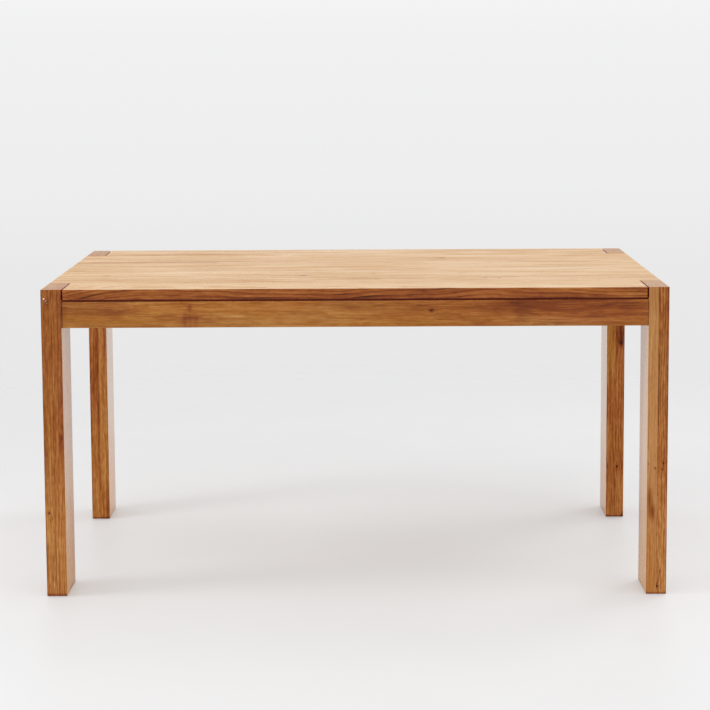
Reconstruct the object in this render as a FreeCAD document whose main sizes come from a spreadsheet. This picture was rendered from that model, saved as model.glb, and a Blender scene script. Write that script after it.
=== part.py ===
import FreeCAD, Part
import Sketcher
import math
import os

# Parsons dining table in solid teak.
#
# Row frame: +X to the right along the long side, +Y to the back, +Z up, in
# millimetres. The origin is on the floor, under the centre of the top.
#
# Two end frames (two legs and a side apron, glued and dowelled) carry a slab
# of eight edge-glued boards. The long aprons end in screwed-on leg blocks, and
# bolts through those blocks pull each leg tight. The legs rise through the
# corners of the slab and finish flush with its upper face.

V = FreeCAD.Vector
doc = FreeCAD.newDocument("parsons_dining_table")
sheet = doc.addObject("Spreadsheet::Sheet", "Dims")


# ---------------------------------------------------------------- dimensions

class Size:
    """A number together with the spreadsheet expression that gives it."""

    def __init__(self, value, text=None):
        self.value = float(value)
        if text is None:
            text = "(%.6g)" % value if value < 0 else "%.6g" % value
        self.text = text

    def join(self, other, sign, value):
        return Size(value, "(%s %s %s)" % (self.text, sign, other.text))

    def __add__(self, other):
        other = size(other)
        return self.join(other, "+", self.value + other.value)

    def __sub__(self, other):
        other = size(other)
        return self.join(other, "-", self.value - other.value)

    def __mul__(self, other):
        other = size(other)
        return self.join(other, "*", self.value * other.value)

    def __truediv__(self, other):
        other = size(other)
        return self.join(other, "/", self.value / other.value)

    def __radd__(self, other):
        return size(other) + self

    def __rsub__(self, other):
        return size(other) - self

    def __rmul__(self, other):
        return size(other) * self

    def __neg__(self):
        return size(-1) * self


def size(x):
    return x if isinstance(x, Size) else Size(x)


rows = [0]


def dim(alias, value, note):
    """One driving dimension: a note, a plain number and its alias."""
    rows[0] += 1
    sheet.set("A%d" % rows[0], note)
    sheet.set("B%d" % rows[0], "%g" % value)
    sheet.setAlias("B%d" % rows[0], alias)
    return Size(value, "Dims." + alias)


width = dim("table_width", 1524, "overall length of the table, along X")
depth = dim("table_depth", 914, "overall width of the table, along Y")
height = dim("table_height", 762, "floor to upper face")
ease = dim("edge_ease", 2.5, "radius on the outer edges")
ease_small = dim("edge_ease_small", 1, "radius on the hidden edges")

leg_x = dim("leg_thickness", 50, "leg, along X: two boards face to face")
leg_y = dim("leg_breadth", 133, "leg, along Y")
foot_bevel = dim("foot_bevel", 1.5, "bevel round the foot")

top_t = dim("top_thickness", 25, "slab thickness")
notch_gap = dim("notch_gap", 3, "open gap between a leg and the slab")
mid_boards = 6
mid_count = dim("middle_boards", mid_boards, "full-length boards between the edge boards")

apron_t = dim("apron_thickness", 25, "apron thickness")
apron_h = dim("apron_height", 69, "apron height, rebate included")
rebate_h = dim("rebate_height", 5, "shadow gap under the slab, height")
rebate_d = dim("rebate_depth", 8, "shadow gap under the slab, depth")

rail_t = dim("rail_thickness", 24, "cross rail thickness")
rail_h = dim("rail_height", 50, "cross rail height")
rail_pitch = dim("rail_pitch", 381, "distance between cross rails")
tenon_t = dim("tenon_thickness", 12, "stub tenon thickness")
tenon_h = dim("tenon_height", 30, "stub tenon height")
tenon_l = dim("tenon_length", 10, "stub tenon length")
play = dim("joint_play", 0.1, "clearance of a tenon or dowel in its hole")

block_x = dim("block_length", 60, "leg block, along X")
block_y = dim("block_breadth", 100, "leg block, along Y")
block_h = dim("block_height", 60, "leg block height")
block_drop = dim("block_drop", 5, "leg block below the slab")
bolt_inset = dim("bolt_inset", 25, "bolt to the end of the leg block")
bolt_r = dim("bolt_radius", 4, "M8 leg bolt")
bolt_l = dim("bolt_length", 80, "M8 leg bolt")
bolt_hole_r = dim("bolt_hole_radius", 4.5, "bolt hole in the block")
washer_t = dim("washer_thickness", 1.6, "plain washer under each bolt head")
insert_r = dim("insert_radius", 6, "threaded insert, outside")
insert_l = dim("insert_length", 20, "threaded insert")

board_dowel_r = dim("board_dowel_radius", 4, "dowels between boards")
board_dowel_l = dim("board_dowel_length", 40, "dowels between boards")
long_dowel_r = dim("long_dowel_radius", 4, "locating dowels, long apron to leg")
long_dowel_l = dim("long_dowel_length", 30, "locating dowels, long apron to leg")
side_dowel_r = dim("side_dowel_radius", 5, "dowels, side apron to leg")
side_dowel_l = dim("side_dowel_length", 60, "dowels, side apron to leg")
dowel_low = dim("dowel_low", 22, "lower dowel above the apron's underside")
dowel_high = dim("dowel_high", 46, "upper dowel above the apron's underside")

bracket_w = dim("bracket_width", 30, "top bracket, along the apron")
bracket_f = dim("bracket_flange", 28, "top bracket, each flange")
bracket_t = dim("bracket_thickness", 2, "top bracket, sheet thickness")
bracket_c = dim("bracket_centre", 16, "bracket hole from the bend")
slot_r = dim("slot_radius", 2.3, "half the width of a bracket slot")
slot_l = dim("slot_travel", 7, "bracket slot, centre to centre")
bracket_near = dim("bracket_near", 190, "brackets on the long aprons, inner pair")
bracket_far = dim("bracket_far", 560, "brackets on the long aprons, outer pair")

small_r = dim("small_screw_radius", 2, "bracket screws")
small_l = dim("small_screw_length", 16, "bracket screws")
rail_screw_r = dim("rail_screw_radius", 2.1, "rail screws")
rail_screw_l = dim("rail_screw_length", 45, "rail screws")
rail_bore = dim("rail_counterbore", 20, "rail screw counterbore")
block_screw_r = dim("block_screw_radius", 2.5, "block screws")
block_screw_l = dim("block_screw_length", 50, "block screws")
block_seat = dim("block_seat", 35, "wood under a block screw's head")

glide_r = dim("glide_radius", 10, "floor glide")
glide_t = dim("glide_thickness", 3.5, "floor glide")
glide_proud = dim("glide_proud", 1.5, "floor glide below the foot")
glide_inset = dim("glide_inset", 25, "floor glide from the leg's edge")
nail_r = dim("nail_radius", 1.1, "glide nail")

doc.recompute()

# Derived levels and lengths.
slab_z = height - top_t
apron_z = slab_z - apron_h
edge_w = leg_y + notch_gap
mid_w = (depth - edge_w * 2) / mid_count
long_l = width - leg_x * 2
side_l = depth - leg_y * 2
hole_play = play / 2


# ------------------------------------------------------------------- helpers

PLANES = {"XY": ("XY_Plane", 1), "XZ": ("XZ_Plane", -1), "YZ": ("YZ_Plane", 1)}


def place(obj, x, y, z, rotation=None):
    x, y, z = size(x), size(y), size(z)
    obj.Placement = FreeCAD.Placement(V(x.value, y.value, z.value), rotation or FreeCAD.Rotation())
    for axis, value in (("x", x), ("y", y), ("z", z)):
        obj.setExpression("Placement.Base." + axis, value.text)


def new_body(name, x=0, y=0, z=0):
    body = doc.addObject("PartDesign::Body", name)
    body.Label = name
    place(body, x, y, z)
    return body


def new_sketch(body, name, plane, level):
    """A sketch on one of the body's origin planes, at a level along its axis."""
    role, sign = PLANES[plane]
    sketch = body.newObject("Sketcher::SketchObject", name)
    support = [f for f in body.Origin.OriginFeatures if f.Role == role][0]
    sketch.AttachmentSupport = [(support, "")]
    sketch.MapMode = "FlatFace"
    offset = size(level) * sign
    sketch.AttachmentOffset = FreeCAD.Placement(V(0, 0, offset.value), FreeCAD.Rotation())
    sketch.setExpression("AttachmentOffset.Base.z", offset.text)
    return sketch


def pin(sketch, geo, pos, x, y):
    """Fix one point of the sketch by its two distances from the origin."""
    for kind, axis, value in (("DistanceX", -2, size(x)), ("DistanceY", -1, size(y))):
        if value.text == "0":
            sketch.addConstraint(Sketcher.Constraint("PointOnObject", geo, pos, axis))
        else:
            n = sketch.addConstraint(Sketcher.Constraint(kind, -1, 1, geo, pos, value.value))
            sketch.setExpression("Constraints[%d]" % n, value.text)


def radius(sketch, geo, r):
    r = size(r)
    n = sketch.addConstraint(Sketcher.Constraint("Radius", geo, r.value))
    sketch.setExpression("Constraints[%d]" % n, r.text)


def draw_polygon(sketch, points):
    points = [(size(x), size(y)) for x, y in points]
    first = sketch.GeometryCount
    count = len(points)
    for i in range(count):
        a, b = points[i], points[(i + 1) % count]
        sketch.addGeometry(Part.LineSegment(V(a[0].value, a[1].value, 0), V(b[0].value, b[1].value, 0)), False)
    for i in range(count):
        sketch.addConstraint(Sketcher.Constraint("Coincident", first + i, 2, first + (i + 1) % count, 1))
    for i in range(count):
        pin(sketch, first + i, 1, points[i][0], points[i][1])


def draw_rectangle(sketch, x0, y0, x1, y1):
    draw_polygon(sketch, [(x0, y0), (x1, y0), (x1, y1), (x0, y1)])


def draw_circle(sketch, x, y, r):
    x, y, r = size(x), size(y), size(r)
    geo = sketch.addGeometry(Part.Circle(V(x.value, y.value, 0), V(0, 0, 1), r.value), False)
    pin(sketch, geo, 3, x, y)
    radius(sketch, geo, r)


def draw_slot(sketch, x, y, r, travel, along):
    """A slot with round ends: its centre, half width and centre distance."""
    x, y, r, half = size(x), size(y), size(r), size(travel) / 2
    if along == "x":
        low, high, turn = (x - half, y), (x + half, y), 0.0
    else:
        low, high, turn = (x, y - half), (x, y + half), math.pi / 2
    points = []
    for centre, start in ((high, turn - math.pi / 2), (low, turn + math.pi / 2)):
        c = V(centre[0].value, centre[1].value, 0)
        circle = Part.Circle(c, V(0, 0, 1), r.value)
        points.append((Part.ArcOfCircle(circle, start, start + math.pi), c, start))
    (arc_a, ca, sa), (arc_b, cb, sb) = points

    def at(c, angle):
        return c + V(math.cos(angle), math.sin(angle), 0) * r.value

    a = sketch.addGeometry(arc_a, False)
    line_1 = sketch.addGeometry(Part.LineSegment(at(ca, sa + math.pi), at(cb, sb)), False)
    b = sketch.addGeometry(arc_b, False)
    line_2 = sketch.addGeometry(Part.LineSegment(at(cb, sb + math.pi), at(ca, sa)), False)
    for g1, p1, g2, p2 in ((a, 2, line_1, 1), (line_1, 2, b, 1), (b, 2, line_2, 1), (line_2, 2, a, 1)):
        sketch.addConstraint(Sketcher.Constraint("Tangent", g1, p1, g2, p2))
    sketch.addConstraint(Sketcher.Constraint("Equal", a, b))
    pin(sketch, a, 3, high[0], high[1])
    pin(sketch, b, 3, low[0], low[1])
    radius(sketch, a, r)


def solid_volume(body):
    return body.Shape.Volume if body.Tip is not None and not body.Shape.isNull() else 0.0


def extrude(kind, body, name, plane, level, draw, length, toward):
    """Pad or pocket a sketch from a level, towards +1 or -1 along the axis."""
    before = solid_volume(body)
    sketch = new_sketch(body, name + "_sketch", plane, level)
    draw(sketch)
    feature = body.newObject("PartDesign::" + kind, name)
    feature.Profile = (sketch, [""])
    length = size(length)
    feature.Length = length.value
    feature.setExpression("Length", length.text)
    sign = PLANES[plane][1]
    feature.Reversed = (toward != sign) if kind == "Pad" else (toward == sign)
    sketch.Visibility = False
    body.Tip = feature
    doc.recompute()
    after = solid_volume(body)
    grown = after - before
    if (kind == "Pad" and grown <= 1e-6) or (kind == "Pocket" and grown >= -1e-6):
        raise RuntimeError("%s on %s changed nothing" % (name, body.Label))
    return feature


def pad(body, name, plane, level, draw, length, toward=1):
    return extrude("Pad", body, name, plane, level, draw, length, toward)


def pocket(body, name, plane, level, draw, length, toward):
    return extrude("Pocket", body, name, plane, level, draw, length, toward)


def holes(body, name, plane, level, centres, r, length, toward):
    """Round blind holes that share a face, a radius and a depth."""
    def draw(sketch):
        for x, y in centres:
            draw_circle(sketch, x, y, r)
    return pocket(body, name, plane, level, draw, length, toward)


def revolve(body, name, points):
    """Turn a profile of (radius, height) points about the body's Z axis."""
    sketch = new_sketch(body, name + "_sketch", "XZ", 0)
    draw_polygon(sketch, points)
    feature = body.newObject("PartDesign::Revolution", name)
    feature.Profile = (sketch, [""])
    feature.ReferenceAxis = (sketch, ["V_Axis"])
    feature.Angle = 360
    sketch.Visibility = False
    body.Tip = feature
    doc.recompute()
    return feature


def lies(edge, x=None, y=None, z=None):
    """True where the whole edge lies at the given coordinates."""
    for vertex in edge.Vertexes:
        p = vertex.Point
        for have, want in ((p.x, x), (p.y, y), (p.z, z)):
            if want is not None and abs(have - size(want).value) > 1e-4:
                return False
    return True


def soften(body, kind, name, amount, pick):
    """Fillet or chamfer the edges that pick() accepts."""
    base = body.Tip
    names = ["Edge%d" % (i + 1) for i, e in enumerate(base.Shape.Edges) if pick(e)]
    if not names:
        raise RuntimeError("%s on %s found no edge" % (name, body.Label))
    before = solid_volume(body)
    feature = body.newObject("PartDesign::" + kind, name)
    feature.Base = (base, names)
    amount = size(amount)
    prop = "Radius" if kind == "Fillet" else "Size"
    setattr(feature, prop, amount.value)
    feature.setExpression(prop, amount.text)
    body.Tip = feature
    doc.recompute()
    if abs(solid_volume(body) - before) < 1e-6:
        raise RuntimeError("%s on %s changed nothing" % (name, body.Label))
    return feature


nodes = []


def group(name, master, spots):
    """One node of identical pieces: the master linked at each spot."""
    links = []
    for i, (x, y, z, rotation) in enumerate(spots):
        link = doc.addObject("App::Link", "%s_%02d" % (name, i + 1))
        link.LinkedObject = master
        place(link, x, y, z, rotation)
        links.append(link)
    compound = doc.addObject("Part::Compound", name)
    compound.Label = name
    compound.Links = links
    nodes.append((name, compound))
    return compound


UP = FreeCAD.Rotation()


def aim(x, y, z):
    """The rotation that turns +Z to the given direction."""
    return FreeCAD.Rotation(V(0, 0, 1), V(x, y, z))


SIDES = (("left", -1), ("right", 1))
ENDS = (("front", -1), ("back", 1))

# Heights above the floor shared by several pieces.
bolt_z = slab_z - block_drop - block_h / 2
block_z = slab_z - block_drop - block_h
rail_z = slab_z - rail_h
bolt_rows = (bolt_inset, block_y - bolt_inset)


# ---------------------------------------------------------------------- legs
# Each leg is two boards laminated face to face. The frame of a leg board is at
# the centre of the leg on the floor. sx points outwards along X, sy along Y.

for end, sy in ENDS:
    for side, sx in SIDES:
        cx = (width / 2 - leg_x / 2) * sx
        cy = (depth / 2 - leg_y / 2) * sy
        for layer, lx in (("outer", sx), ("inner", -sx)):
            body = new_body("leg_%s_%s_%s" % (end, side, layer), cx, cy, 0)
            face = (leg_x / 2) * lx
            pad(body, "board", "XY", glide_proud,
                lambda s: draw_rectangle(s, 0, -(leg_y / 2), face, leg_y / 2), height - glide_proud)
            # The long edges and the top edges on the outside of the lamination.
            soften(body, "Fillet", "eased_edges", ease,
                   lambda e: lies(e, x=face, y=leg_y / 2) or lies(e, x=face, y=-(leg_y / 2))
                   or lies(e, x=face, z=height)
                   or (lies(e, z=height) and (lies(e, y=leg_y / 2) or lies(e, y=-(leg_y / 2)))))
            soften(body, "Chamfer", "foot_edges", foot_bevel,
                   lambda e: lies(e, z=glide_proud) and not lies(e, x=0))
            # One glide under each board, at opposite ends of the foot.
            gx = (leg_x / 4) * lx
            gy = (leg_y / 2 - glide_inset) * (sy if layer == "outer" else -sy)
            holes(body, "glide_recess", "XY", glide_proud, [(gx, gy)],
                  glide_r + 0.25, glide_t - glide_proud, 1)
            holes(body, "nail_hole", "XY", glide_proud, [(gx, gy)], nail_r + hole_play, 20, 1)
            if layer == "inner":
                # Threaded inserts for the leg bolts.
                rows_y = [(depth / 2 - apron_t - b) * sy - cy for b in bolt_rows]
                holes(body, "insert_holes", "YZ", face, [(y, bolt_z) for y in rows_y],
                      insert_r + hole_play, insert_l + 0.2, sx)
                # Locating dowels of the long apron.
                y = (leg_y / 2 - apron_t / 2) * sy
                holes(body, "dowel_holes", "YZ", face,
                      [(y, apron_z + dowel_low), (y, apron_z + dowel_high)],
                      long_dowel_r + hole_play, long_dowel_l / 2 + 0.2, sx)
            else:
                # Glued dowels of the side apron.
                x = (leg_x / 2 - apron_t / 2) * sx
                holes(body, "dowel_holes", "XZ", -(leg_y / 2) * sy,
                      [(x, apron_z + dowel_low), (x, apron_z + dowel_high)],
                      side_dowel_r + hole_play, side_dowel_l / 2 + 0.2, sy)
            nodes.append((body.Label, body))


# ----------------------------------------------------------------------- top
# Eight boards, edge glued. The two edge boards end short of the legs, and the
# six between them run the full length.

board_dowel_x = [-600, -360, -120, 120, 360, 600]
rail_x = [-1, 0, 1]
board_names = ["top_board_%d" % (i + 1) for i in range(mid_boards + 2)]
board_middles = []

for i, name in enumerate(board_names):
    if i in (0, mid_boards + 1):
        sy = -1 if i == 0 else 1
        middle = (depth / 2 - edge_w / 2) * sy
        length, breadth = width - (leg_x + notch_gap) * 2, edge_w
    else:
        sy = 0
        middle = mid_w * (i - 0.5) - (depth / 2 - edge_w)
        length, breadth = width, mid_w
    board_middles.append(middle)
    body = new_body(name, 0, middle, slab_z)
    pad(body, "board", "XY", 0,
        lambda s: draw_rectangle(s, -(length / 2), -(breadth / 2), length / 2, breadth / 2), top_t)
    if sy:
        soften(body, "Fillet", "eased_edge", ease,
               lambda e: lies(e, y=(breadth / 2) * sy) and (lies(e, z=0) or lies(e, z=top_t)))
    else:
        soften(body, "Fillet", "eased_ends", ease,
               lambda e: (lies(e, x=length / 2) or lies(e, x=-(length / 2)))
               and (lies(e, z=0) or lies(e, z=top_t)))
    # Dowels in the glue joints.
    for toward in (-1, 1):
        if toward == sy:
            continue
        holes(body, "dowel_holes_low" if toward < 0 else "dowel_holes_high", "XZ",
              (breadth / 2) * toward, [(x, top_t / 2) for x in board_dowel_x],
              board_dowel_r + hole_play, board_dowel_l / 2 + 0.2, -toward)
    # Pilot holes for the rail screws.
    holes(body, "rail_pilots", "XY", 0, [(rail_pitch * k if k else 0, 0) for k in rail_x],
          rail_screw_r + hole_play, rail_screw_l - rail_h + rail_bore + 0.5, 1)
    # Pilot holes for the bracket screws.
    if sy:
        y = (depth / 2 - apron_t - bracket_c) * sy - middle
        spots = [(b * k, y) for b in (bracket_near, bracket_far) for k in (-1, 1)]
    elif i in (2, mid_boards - 1):
        spots = [((width / 2 - apron_t - bracket_c) * k, 0) for k in (-1, 1)]
    else:
        spots = []
    if spots:
        holes(body, "bracket_pilots", "XY", 0, spots, small_r + hole_play,
              small_l - bracket_t + 0.5, 1)
    nodes.append((name, body))

side_bracket_y = [board_middles[2], board_middles[mid_boards - 1]]


# -------------------------------------------------------------------- aprons
# The frame of an apron is at the middle of its lower outer edge.

def apron_profile(inwards):
    """The section: across from the outer face, and up from the underside."""
    return [(0, 0), (apron_t * inwards, 0), (apron_t * inwards, apron_h),
            (rebate_d * inwards, apron_h), (rebate_d * inwards, apron_h - rebate_h),
            (0, apron_h - rebate_h)]


for end, sy in ENDS:
    body = new_body("apron_" + end, 0, (depth / 2) * sy, apron_z)
    pad(body, "board", "YZ", -(long_l / 2), lambda s: draw_polygon(s, apron_profile(-sy)), long_l)
    soften(body, "Fillet", "eased_edge", ease, lambda e: lies(e, y=0, z=0))
    soften(body, "Fillet", "eased_rebate", ease_small, lambda e: lies(e, y=0, z=apron_h - rebate_h))
    inner = apron_t * -sy
    for toward in (-1, 1):
        holes(body, "dowel_holes_left" if toward < 0 else "dowel_holes_right", "YZ",
              (long_l / 2) * toward, [((apron_t / 2) * -sy, dowel_low), ((apron_t / 2) * -sy, dowel_high)],
              long_dowel_r + hole_play, long_dowel_l / 2 + 0.2, -toward)

    def mortises(s):
        mid = apron_h - rail_h / 2
        for k in rail_x:
            x = rail_pitch * k
            draw_rectangle(s, x - tenon_t / 2 - hole_play, mid - tenon_h / 2 - hole_play,
                           x + tenon_t / 2 + hole_play, mid + tenon_h / 2 + hole_play)
    pocket(body, "rail_mortises", "XZ", inner, mortises, tenon_l + 0.2, sy)
    near = long_l / 2 - block_x / 2 + 15
    far = long_l / 2 - block_x / 2 - 15
    low = block_z - apron_z + 10
    high = block_z - apron_z + block_h - 10
    holes(body, "block_pilots", "XZ", inner,
          [(near, low), (far, high), (-near, low), (-far, high)],
          block_screw_r + hole_play, block_screw_l - block_seat + 0.2, sy)
    holes(body, "bracket_pilots", "XZ", inner,
          [(b * k, apron_h - bracket_c) for b in (bracket_near, bracket_far) for k in (-1, 1)],
          small_r + hole_play, small_l - bracket_t + 0.5, sy)
    nodes.append((body.Label, body))

for side, sx in SIDES:
    body = new_body("apron_" + side, (width / 2) * sx, 0, apron_z)
    pad(body, "board", "XZ", -(side_l / 2), lambda s: draw_polygon(s, apron_profile(-sx)), side_l)
    soften(body, "Fillet", "eased_edge", ease, lambda e: lies(e, x=0, z=0))
    soften(body, "Fillet", "eased_rebate", ease_small, lambda e: lies(e, x=0, z=apron_h - rebate_h))
    for toward in (-1, 1):
        holes(body, "dowel_holes_front" if toward < 0 else "dowel_holes_back", "XZ",
              (side_l / 2) * toward, [((apron_t / 2) * -sx, dowel_low), ((apron_t / 2) * -sx, dowel_high)],
              side_dowel_r + hole_play, side_dowel_l / 2 + 0.2, -toward)
    holes(body, "bracket_pilots", "YZ", apron_t * -sx,
          [(y, apron_h - bracket_c) for y in side_bracket_y],
          small_r + hole_play, small_l - bracket_t + 0.5, sx)
    nodes.append((body.Label, body))


# --------------------------------------------------------------- cross rails
# Three rails under the slab, stub-tenoned into the long aprons. The screws
# pass through slots along Y, so that the slab can swell and shrink.

for label, k in (("left", -1), ("middle", 0), ("right", 1)):
    body = new_body("cross_rail_" + label, rail_pitch * k if k else 0, 0, rail_z)
    reach = depth / 2 - apron_t
    pad(body, "rail", "XY", 0,
        lambda s: draw_rectangle(s, -(rail_t / 2), -reach, rail_t / 2, reach), rail_h)
    soften(body, "Fillet", "eased_edges", ease_small,
           lambda e: lies(e, z=0) and (lies(e, x=rail_t / 2) or lies(e, x=-(rail_t / 2))))
    pad(body, "tenons", "XY", rail_h / 2 - tenon_h / 2,
        lambda s: draw_rectangle(s, -(tenon_t / 2), -reach - tenon_l, tenon_t / 2, reach + tenon_l), tenon_h)

    def slots(r):
        def draw(s):
            for middle in board_middles:
                draw_slot(s, 0, middle, r, 8, "y")
        return draw
    pocket(body, "counterbores", "XY", 0, slots(5.5), rail_bore, 1)
    pocket(body, "slots", "XY", 0, slots(2.5), rail_h, 1)
    nodes.append((body.Label, body))


# ---------------------------------------------------------------- leg blocks
# The frame of a block is at the middle of its underside.

for end, sy in ENDS:
    for side, sx in SIDES:
        body = new_body("leg_block_%s_%s" % (end, side),
                        (width / 2 - leg_x - block_x / 2) * sx,
                        (depth / 2 - apron_t - block_y / 2) * sy, block_z)
        pad(body, "block", "XY", 0,
            lambda s: draw_rectangle(s, -(block_x / 2), -(block_y / 2), block_x / 2, block_y / 2), block_h)
        soften(body, "Chamfer", "corner", 6,
               lambda e: lies(e, x=(block_x / 2) * -sx, y=(block_y / 2) * -sy))
        holes(body, "bolt_holes", "YZ", (block_x / 2) * -sx,
              [((block_y / 2 - b) * sy, block_h / 2) for b in bolt_rows], bolt_hole_r, block_x, sx)
        spots = [(size(15) * sx, 10), (size(15) * -sx, block_h - 10)]
        holes(body, "screw_counterbores", "XZ", (block_y / 2) * -sy, spots, 6, block_y - block_seat, sy)
        holes(body, "screw_holes", "XZ", (block_y / 2) * -sy, spots,
              block_screw_r + hole_play, block_y, sy)
        nodes.append((body.Label, body))


# ------------------------------------------------------------------ fittings
# Each master is modelled on its own axis, pointing up from its bearing face.

def pan_screw(name, r, length, head_r, head_h):
    """A pan-head wood screw with a tapered point and a cross recess."""
    body = new_body(name)
    r, length, head_r, head_h = size(r), size(length), size(head_r), size(head_h)
    revolve(body, "turned", [(0, -head_h), (head_r * 0.72, -head_h), (head_r, -head_h * 0.4), (head_r, 0),
                             (r, 0), (r, length - r * 2), (r * 0.2, length), (0, length)])
    arm, half = head_r * 0.55, head_r * 0.14
    pocket(body, "recess", "XY", -head_h,
           lambda s: draw_polygon(s, [(arm, -half), (arm, half), (half, half), (half, arm), (-half, arm),
                                      (-half, half), (-arm, half), (-arm, -half), (-half, -half),
                                      (-half, -arm), (half, -arm), (half, -half)]),
           head_h * 0.6, 1)
    return body


def dowel(name, r, length):
    body = new_body(name)
    r, length = size(r), size(length)
    half = length / 2
    revolve(body, "turned", [(0, -half), (r - 0.8, -half), (r, -half + 1.2), (r, half - 1.2),
                             (r - 0.8, half), (0, half)])
    return body


# Leg bolts: hex socket, low round head.
bolt = new_body("bolt_master")
revolve(bolt, "turned", [(0, -4.5), (5.5, -4.5), (7, -3), (7, 0), (bolt_r, 0),
                         (bolt_r, bolt_l - 1.2), (bolt_r - 1, bolt_l), (0, bolt_l)])
hexagon = [(2.887 * math.cos(math.radians(60 * k)), 2.887 * math.sin(math.radians(60 * k))) for k in range(6)]
pocket(bolt, "socket", "XY", -4.5,
       lambda s: draw_polygon(s, [(round(x, 4) + 0.0, round(y, 4) + 0.0) for x, y in hexagon]), 3, 1)

washer = new_body("washer_master")
revolve(washer, "turned", [(bolt_r + 0.2, 0), (9, 0), (9, washer_t), (bolt_r + 0.2, washer_t)])

insert = new_body("insert_master")
revolve(insert, "turned", [(bolt_r + hole_play, 0), (insert_r - 0.6, 0), (insert_r, 0.6),
                           (insert_r, insert_l - 0.8), (insert_r - 0.8, insert_l),
                           (bolt_r + hole_play, insert_l)])

bolt_spots, washer_spots, insert_spots, block_spots = [], [], [], []
for end, sy in ENDS:
    for side, sx in SIDES:
        face = width / 2 - leg_x
        for b in bolt_rows:
            y = (depth / 2 - apron_t - b) * sy
            bolt_spots.append(((face - block_x - washer_t) * sx, y, bolt_z, aim(sx, 0, 0)))
            washer_spots.append(((face - block_x - washer_t) * sx, y, bolt_z, aim(sx, 0, 0)))
            insert_spots.append((face * sx, y, bolt_z, aim(sx, 0, 0)))
        middle = face - block_x / 2
        seat = (depth / 2 - apron_t - block_seat) * sy
        block_spots.append(((middle + 15) * sx, seat, block_z + 10, aim(0, sy, 0)))
        block_spots.append(((middle - 15) * sx, seat, block_z + block_h - 10, aim(0, sy, 0)))
group("leg_bolts", bolt, bolt_spots)
group("leg_bolt_washers", washer, washer_spots)
group("leg_inserts", insert, insert_spots)
group("block_screws", pan_screw("block_screw_master", block_screw_r, block_screw_l, 4.8, 3.2), block_spots)

group("rail_screws", pan_screw("rail_screw_master", rail_screw_r, rail_screw_l, 4.2, 2.8),
      [(rail_pitch * k if k else 0, middle, rail_z + rail_bore, UP)
       for k in rail_x for middle in board_middles])


def bracket(name, slot_along):
    """A slotted angle in the corner of an apron and the slab, facing +Y."""
    body = new_body(name)
    pad(body, "angle", "YZ", -(bracket_w / 2),
        lambda s: draw_polygon(s, [(0, 0), (bracket_f, 0), (bracket_f, -bracket_t), (bracket_t, -bracket_t),
                                   (bracket_t, -bracket_f), (0, -bracket_f)]), bracket_w)
    soften(body, "Fillet", "bend_outside", bracket_t, lambda e: lies(e, y=0, z=0))
    soften(body, "Fillet", "corners", 3,
           lambda e: lies(e, y=bracket_f) and (lies(e, x=bracket_w / 2) or lies(e, x=-(bracket_w / 2))))
    holes(body, "hole", "XZ", 0, [(0, -bracket_c)], small_r + 0.25, bracket_t, 1)
    pocket(body, "slot", "XY", 0,
           lambda s: draw_slot(s, 0, bracket_c, slot_r, slot_l, slot_along), bracket_t, -1)
    return body


turn_back = FreeCAD.Rotation(V(0, 0, 1), 180)
long_brackets, side_brackets, screw_spots = [], [], []
for end, sy in ENDS:
    inner = (depth / 2 - apron_t) * sy
    for b in (bracket_near, bracket_far):
        for k in (-1, 1):
            long_brackets.append((b * k, inner, slab_z, turn_back if sy > 0 else UP))
            screw_spots.append((b * k, inner - bracket_c * sy, slab_z - bracket_t, UP))
            screw_spots.append((b * k, inner - bracket_t * sy, slab_z - bracket_c, aim(0, sy, 0)))
for side, sx in SIDES:
    inner = (width / 2 - apron_t) * sx
    for y in side_bracket_y:
        side_brackets.append((inner, y, slab_z, FreeCAD.Rotation(V(0, 0, 1), 90 * sx)))
        screw_spots.append((inner - bracket_c * sx, y, slab_z - bracket_t, UP))
        screw_spots.append((inner - bracket_t * sx, y, slab_z - bracket_c, aim(sx, 0, 0)))
group("long_apron_brackets", bracket("long_bracket_master", "y"), long_brackets)
group("side_apron_brackets", bracket("side_bracket_master", "x"), side_brackets)
group("bracket_screws", pan_screw("bracket_screw_master", small_r, small_l, 4, 2.4), screw_spots)


# -------------------------------------------------------------------- dowels

seams = [(board_middles[i] + board_middles[i + 1]) / 2 for i in range(1, mid_boards)]
seams = [-(depth / 2 - edge_w)] + seams + [depth / 2 - edge_w]
group("board_dowels", dowel("board_dowel_master", board_dowel_r, board_dowel_l),
      [(x, seam, slab_z + top_t / 2, aim(0, 1, 0)) for seam in seams for x in board_dowel_x])
group("long_apron_dowels", dowel("long_dowel_master", long_dowel_r, long_dowel_l),
      [((long_l / 2) * sx, (depth / 2 - apron_t / 2) * sy, apron_z + z, aim(1, 0, 0))
       for end, sy in ENDS for side, sx in SIDES for z in (dowel_low, dowel_high)])
group("side_apron_dowels", dowel("side_dowel_master", side_dowel_r, side_dowel_l),
      [((width / 2 - apron_t / 2) * sx, (side_l / 2) * sy, apron_z + z, aim(0, 1, 0))
       for end, sy in ENDS for side, sx in SIDES for z in (dowel_low, dowel_high)])


# -------------------------------------------------------------- floor glides

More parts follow.
